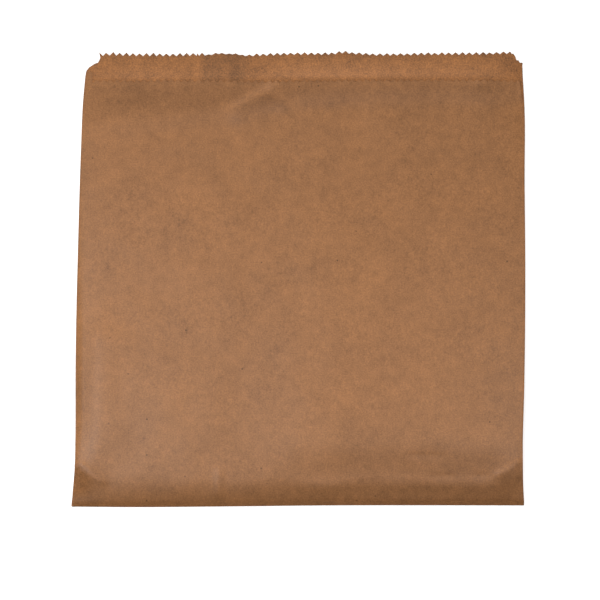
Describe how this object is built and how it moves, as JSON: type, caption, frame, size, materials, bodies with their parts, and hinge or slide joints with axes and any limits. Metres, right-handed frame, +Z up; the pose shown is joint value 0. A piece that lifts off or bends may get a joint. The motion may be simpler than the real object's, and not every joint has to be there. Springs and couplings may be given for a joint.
{
  "type": "flat paper bag",
  "caption": "Flat brown paper lunch bag with a saw-tooth mouth, a lip on its back wall, a lapped back and a turned-up pasted bottom.",
  "frame": {"origin": "middle of the bag's outline, on the surface that it lies on", "axes": "+Z up, out of the front wall; +Y from the bottom fold to the mouth; +X to the right as seen from above with the mouth at the top"},
  "size_m": [0.2168, 0.2202, 0.0065],
  "materials": {
    "kraft_paper": "uncoated brown kraft paper, semi-matt with a faint calendered sheen"
  },
  "bodies": {
    "root": {"paper_bag": "kraft_paper"}
  },
  "joints": []
}
